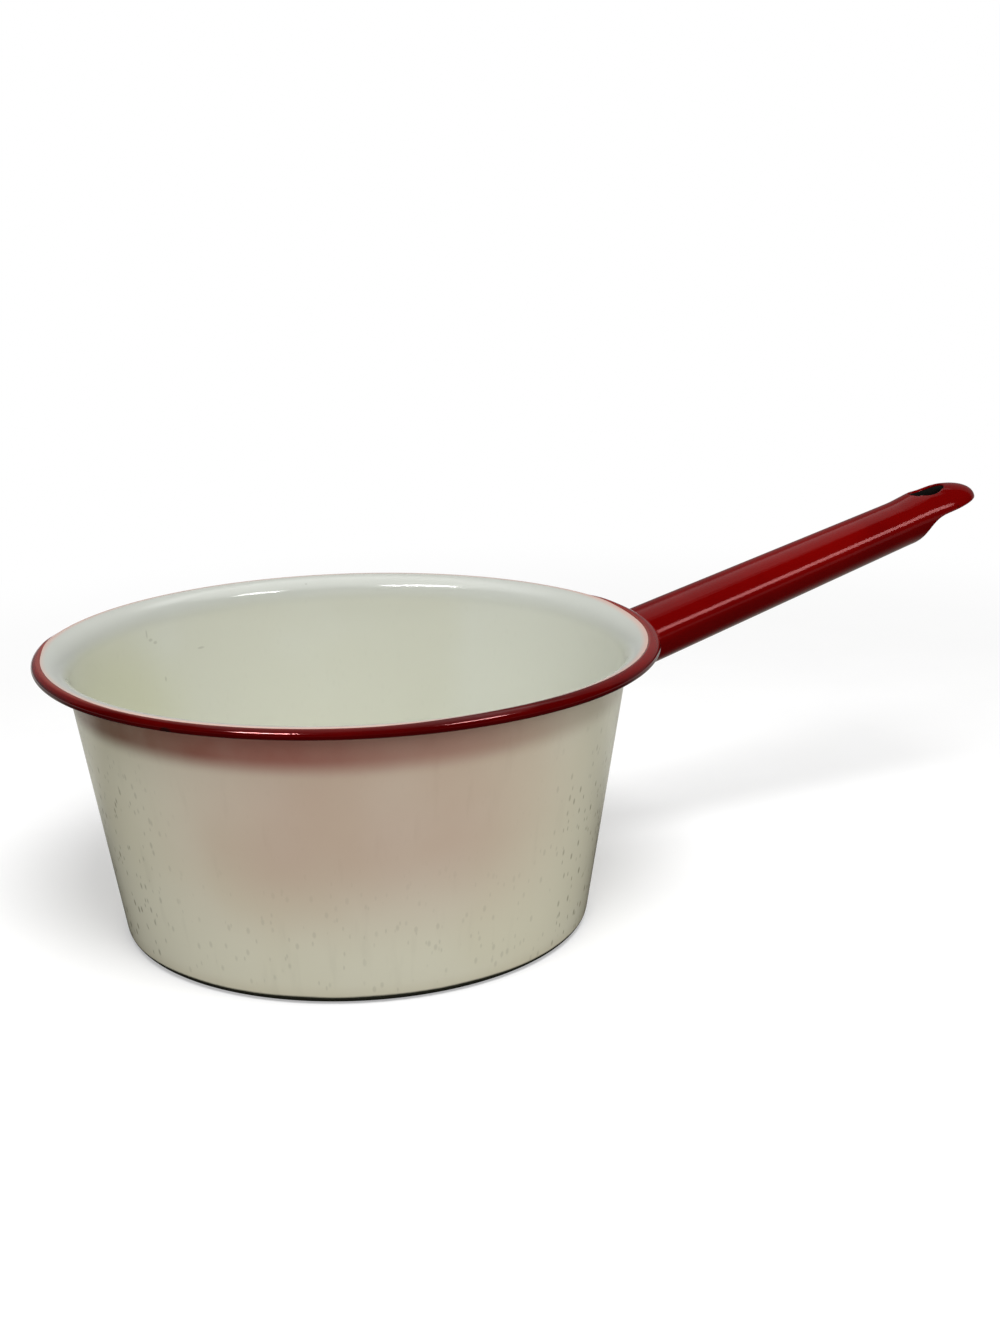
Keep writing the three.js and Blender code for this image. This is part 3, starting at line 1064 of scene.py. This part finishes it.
# %% [markdown]
# ## Floor
# The pan stands on a white sweep, which looks white to the camera and in reflections and keeps the soft
# shadow of one lamp. A brighter lamp could make it white, but that would also light the pan from below.
# So the floor glows a little where it is seen directly, and more further away, until it fades into the
# white surround. For the light that it throws back onto the pan it counts as grey, so the wall keeps its
# shading.

# %% Lay the floor
floor_radius = 3.0
floor_drop = 0.1 * MM


def make_stage(name, shape):
    mesh = bpy.data.meshes.new(name)
    shape.to_mesh(mesh)
    shape.free()
    item = bpy.data.objects.new(name, mesh)
    bpy.context.scene.collection.objects.link(item)
    return item


def make_disc(name, radius, drop, segments):
    shape = bmesh.new()
    bmesh.ops.create_circle(shape, cap_ends=True, segments=segments, radius=radius)
    bmesh.ops.translate(shape, verts=shape.verts, vec=(0, 0, -drop))
    return make_stage(name, shape)


floor = make_disc("floor", floor_radius, floor_drop, segments=96)
print("the floor reaches", floor_radius, "m and lies", round(floor_drop / MM, 2), "mm under the base")

# %% Make the floor white
shadow_middle = (0.10, 0.02, 0)
shadow_reach = (0.22, 0.60)
glow_near = 0.44
paper_dark = grey(0.93)
paper_light = grey(0.96)
paper_range = (0.2, 0.8)
floor_bounce = (0.36, 0.36, 0.34, 1)


def seen_directly(wiring):
    """1 for rays that show the background: from the camera, mirrored by gloss or passed through glass."""
    path = wiring.node("ShaderNodeLightPath").outputs
    mirrored = wiring.math("MAXIMUM", path["Is Glossy Ray"], path["Is Transmission Ray"])
    return wiring.math("MAXIMUM", path["Is Camera Ray"], mirrored)


def make_floor_finish():
    sweep = Finish("white_sweep")
    seen = seen_directly(sweep)
    distance = sweep.vector("DISTANCE", sweep.place, shadow_middle)["Value"]
    far = sweep.fade(distance, *shadow_reach)
    glow = sweep.times(sweep.scaled(far, 1 - glow_near, glow_near), seen)
    white = sweep.node("ShaderNodeEmission", {"Color": grey(1.0), "Strength": 1.0})
    paper = sweep.blend(sweep.fade(sweep.noise(60 * MM, detail=3), *paper_range), paper_dark, paper_light)
    sweep.finish(base_color=sweep.blend(seen, floor_bounce, paper), roughness=0.9)
    inputs = {0: glow, 1: sweep.shader.outputs[0], 2: white.outputs[0]}
    mixed = sweep.node("ShaderNodeMixShader", inputs).outputs[0]
    sweep.plug(mixed, sweep.tree.nodes["Material Output"].inputs["Surface"])
    return sweep.material


dress(floor, make_floor_finish())

# %% [markdown]
# ## The dark side of the studio
# Enamel this glossy shows the room round it. In a studio the side behind the camera is dark, which keeps
# the red deep and the edges of the highlights crisp. That side could be a dark world, but then the white
# background would go too. Here it is a dark shell, cut from a sphere with three planes, and what is left of
# the sphere behind the pan is a grey flag. A round card on the floor is dark in front of the pan and grey
# behind it, so that the ends of the wall mirror neither black nor white.
# The camera sees none of the three. The flag and the card show in gloss alone, and they cast no shadow.

# %% Cut the dark shell and the grey flag
shell_radius = 1.7
shell_wrap = 0.6
shell_foot = 5 * MM
front_top = math.radians(62)
back_top = math.radians(48)
flag_glow = 0.24
fold_dark = (0.05, 0.045, 0.04, 1)
fold_light = (0.08, 0.07, 0.065, 1)
fold_range = (0.3, 0.7)
backwards = -Vector((math.cos(camera_azimuth), math.sin(camera_azimuth), 0))


def make_shell(name, side, top):
    """One part of the shell: side is +1 behind the camera and -1 behind the pan."""
    shape = bmesh.new()
    bmesh.ops.create_uvsphere(shape, u_segments=48, v_segments=24, radius=shell_radius)
    cuts = (
        (backwards * shell_wrap, backwards * side),
        (Vector((0, 0, shell_radius * math.sin(top))), Vector((0, 0, 1))),
        (Vector((0, 0, shell_foot)), Vector((0, 0, -1))),
    )
    for place, cut_off in cuts:
        whole = shape.verts[:] + shape.edges[:] + shape.faces[:]
        bmesh.ops.bisect_plane(shape, geom=whole, plane_co=place, plane_no=cut_off, clear_outer=True)
    return make_stage(name, shape)


def make_shell_finish(name, glow):
    cloth = Finish(name)
    folds = cloth.fade(cloth.noise(120 * MM, detail=3), *fold_range)
    shade = cloth.blend(folds, fold_dark, fold_light)
    cloth.finish(base_color=shade, roughness=0.95)
    return cloth.finish(emission_color=grey(1.0), emission_strength=glow)


dark_shell = make_shell("dark_shell", 1, front_top)
back_flag = make_shell("back_flag", -1, back_top)
dress(dark_shell, make_shell_finish("dark_cloth", 0.0))
dress(back_flag, make_shell_finish("grey_cloth", flag_glow))

# %% Lay the card
card_radius = 0.6
card_drop = 0.05 * MM
card_turns = (0.04, 0.14)
card_glow = 0.42
card_light = (1, 1, 0.9, 1)
card_dark_weave = grey(0.05)
card_light_weave = grey(0.07)


def make_card_finish():
    """Dark in front of the pan and grey behind it."""
    cloth = Finish("card_cloth")
    depth = cloth.vector("DOT_PRODUCT", cloth.place, backwards)["Value"]
    glow = cloth.times(cloth.fade(depth, *card_turns), card_glow)
    weave = cloth.fade(cloth.noise(40 * MM, detail=3), *fold_range)
    shade = cloth.blend(weave, card_dark_weave, card_light_weave)
    cloth.finish(base_color=shade, roughness=0.95)
    return cloth.finish(emission_color=card_light, emission_strength=glow)


floor_card = make_disc("floor_card", card_radius, card_drop, segments=64)
dress(floor_card, make_card_finish())
for card in (dark_shell, back_flag, floor_card):
    card.visible_camera = False
for card in (back_flag, floor_card):
    card.visible_diffuse = False
    card.visible_shadow = False

# %% [markdown]
# ## Light
# Most of the light is soft and comes from fills: one in front, one high up, two behind the pan, and two low
# ones for the left and right ends of the wall. They are kept out of reflections, because lamps that size
# would wash out the red. An overhead box, which does show in the gloss, and a weak surround light
# everything. Narrow strips then draw the highlights one by one, as a photographer would: two for the lip,
# two for the front of the rim and one along the handle. They show in gloss alone. One key lamp shines on
# the floor and gives the soft shadow.
# One large lamp could do most of this, but Blender can link a lamp to chosen pieces, so here each one
# shines only where it is wanted.

# %% Surround the scene with white
surround_strength = 0.25


def make_surround():
    world = bpy.data.worlds.new("white_surround")
    world.use_nodes = True
    wiring = Wiring(world.node_tree)
    background = world.node_tree.nodes["Background"].inputs
    level = wiring.scaled(seen_directly(wiring), 1 - surround_strength, surround_strength)
    wiring.plug(grey(1.0), background["Color"])
    wiring.plug(level, background["Strength"])
    bpy.context.scene.world = world


make_surround()
bpy.context.scene.view_settings.view_transform = "Standard"
print("world strength on surfaces:", surround_strength)

# %% Set the lamps
pan_middle = (0, 0, 0.08)
wall_middle = (0, 0, 0.06)
pan = (enamelled_pan,)
rim = (red_rim,)
pan_and_rim = pan + rim
handle_and_weld = (rolled_handle, root_weld)
whole_object = handle_and_weld + pan_and_rim


def make_lamp(name, place, target, size, power, shines_on=()):
    """A lamp of the given width and height, in metres and watts. With no pieces it lights everything."""
    lamp = bpy.data.lights.new(name, "AREA")
    lamp.shape = "RECTANGLE"
    lamp.size, lamp.size_y = size
    lamp.energy = power
    holder = bpy.data.objects.new(name, lamp)
    holder.location = place
    holder.rotation_euler = (Vector(place) - Vector(target)).to_track_quat("Z", "Y").to_euler()
    holder.visible_camera = False
    bpy.context.scene.collection.objects.link(holder)
    if shines_on:
        receivers = bpy.data.collections.new(name + "_receivers")
        for item in shines_on:
            receivers.objects.link(item)
        holder.light_linking.receiver_collection = receivers
    print(name, "at", place, "with", power, "W")
    return holder


def make_fill(*lamp):
    """Soft light that gloss doesn't mirror."""
    make_lamp(*lamp).visible_glossy = False


def make_strip(*lamp):
    """A highlight that shows in gloss alone."""
    make_lamp(*lamp).visible_diffuse = False


make_fill("front_fill", (-0.24, -1.21, 0.94), pan_middle, (0.9, 0.9), 15.0, whole_object)
make_fill("high_fill", (-0.19, -0.52, 1.26), pan_middle, (0.6, 0.6), 2.8, pan_and_rim)
make_fill("back_left_fill", (-0.60, 0.60, 0.93), pan_middle, (0.5, 0.5), 4.2, pan)
make_fill("back_right_fill", (0.60, 0.60, 0.93), pan_middle, (0.5, 0.5), 2.2, pan)
make_fill("left_wall_fill", (-1.20, -0.10, 0.07), wall_middle, (0.5, 0.12), 3.1, pan)
make_fill("right_wall_fill", (1.04, -0.60, 0.07), wall_middle, (0.5, 0.12), 4.0, pan)
make_lamp("overhead_softbox", (0.05, 0.22, 1.10), (0.05, 0.22, 0), (1.3, 0.95), 4.2)
make_strip("left_strip", (-0.368, -0.070, 0.990), (0.059, 0.078, 0.097), (0.40, 0.10), 3.2, pan)
make_strip("right_strip", (0.299, -0.338, 0.945), (0, 0.098, 0.097), (0.25, 0.10), 1.8, pan)
make_strip("rim_left_strip", (-0.65, -0.48, 0.80), (-0.060, -0.090, 0.099), (0.34, 0.10), 50.0, rim)
make_strip("rim_right_strip", (0.39, -0.49, 0.94), (0.002, -0.109, 0.100), (0.37, 0.08), 13.0, rim)
make_strip("handle_strip", (0.67, -1.03, 0.46), (0.10, 0, 0.09), (0.36, 0.22), 5.0, handle_and_weld)
make_lamp("floor_key", (-0.13, -0.57, 1.0), (0, 0, 0), (0.5, 0.5), 15.5, (floor,))
